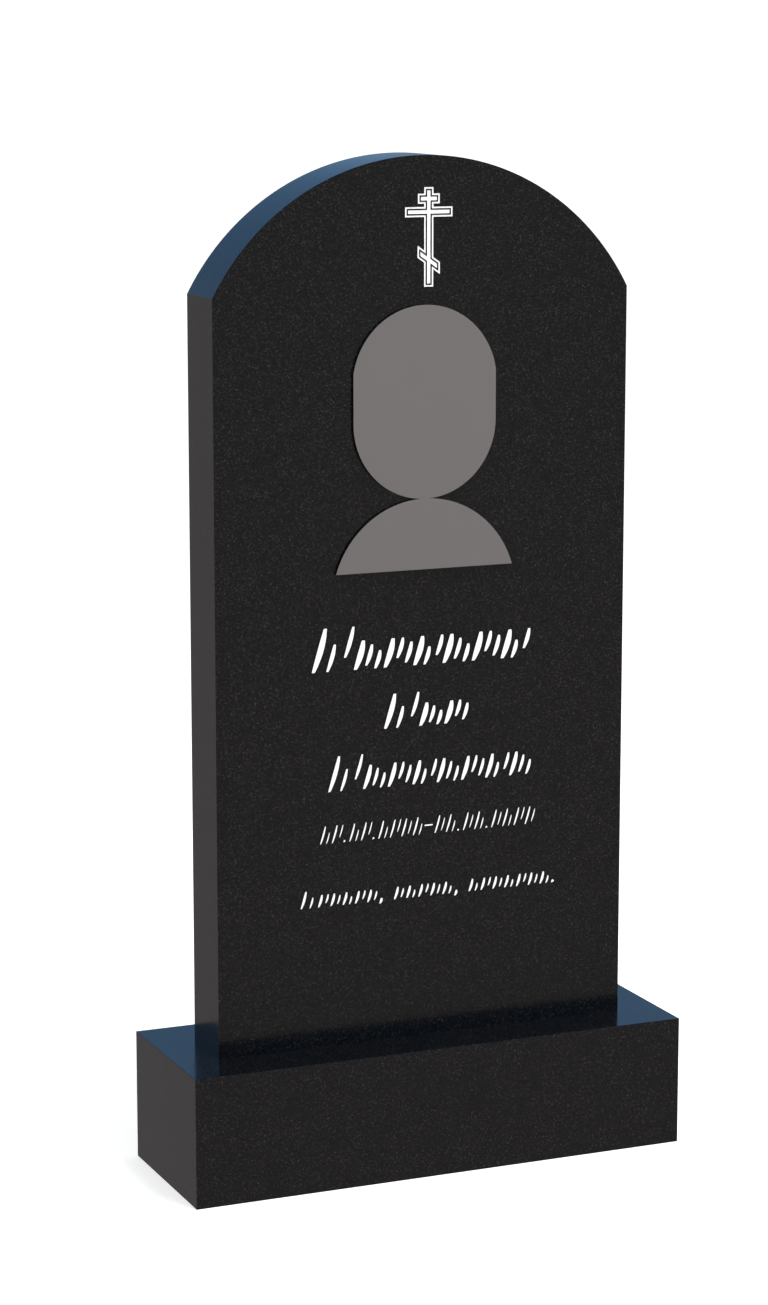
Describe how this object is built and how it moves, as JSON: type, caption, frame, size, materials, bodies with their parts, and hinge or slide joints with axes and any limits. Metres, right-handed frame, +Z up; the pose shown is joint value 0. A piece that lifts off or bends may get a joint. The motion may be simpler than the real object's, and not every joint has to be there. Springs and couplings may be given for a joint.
{
  "type": "headstone",
  "caption": "Arched upright memorial slab on a plinth, with an outlined cross, a head-and-shoulders plate and rows of raised marks.",
  "frame": {"origin": "centre of the plinth's underside", "axes": "+X to the viewer's right, -Y the way the inscribed face looks, +Z up"},
  "size_m": [0.6, 0.2, 1.15],
  "materials": {
    "plinth_stone": "polished black stone with fine needle-like grains",
    "stele_stone": "polished black stone; the raised marks and the cut cross are painted white",
    "portrait_grey": "even mid grey, satin, with a dark rim"
  },
  "bodies": {
    "root": {"plinth": "plinth_stone", "stele": "stele_stone", "portrait_plate": "portrait_grey"}
  },
  "joints": []
}
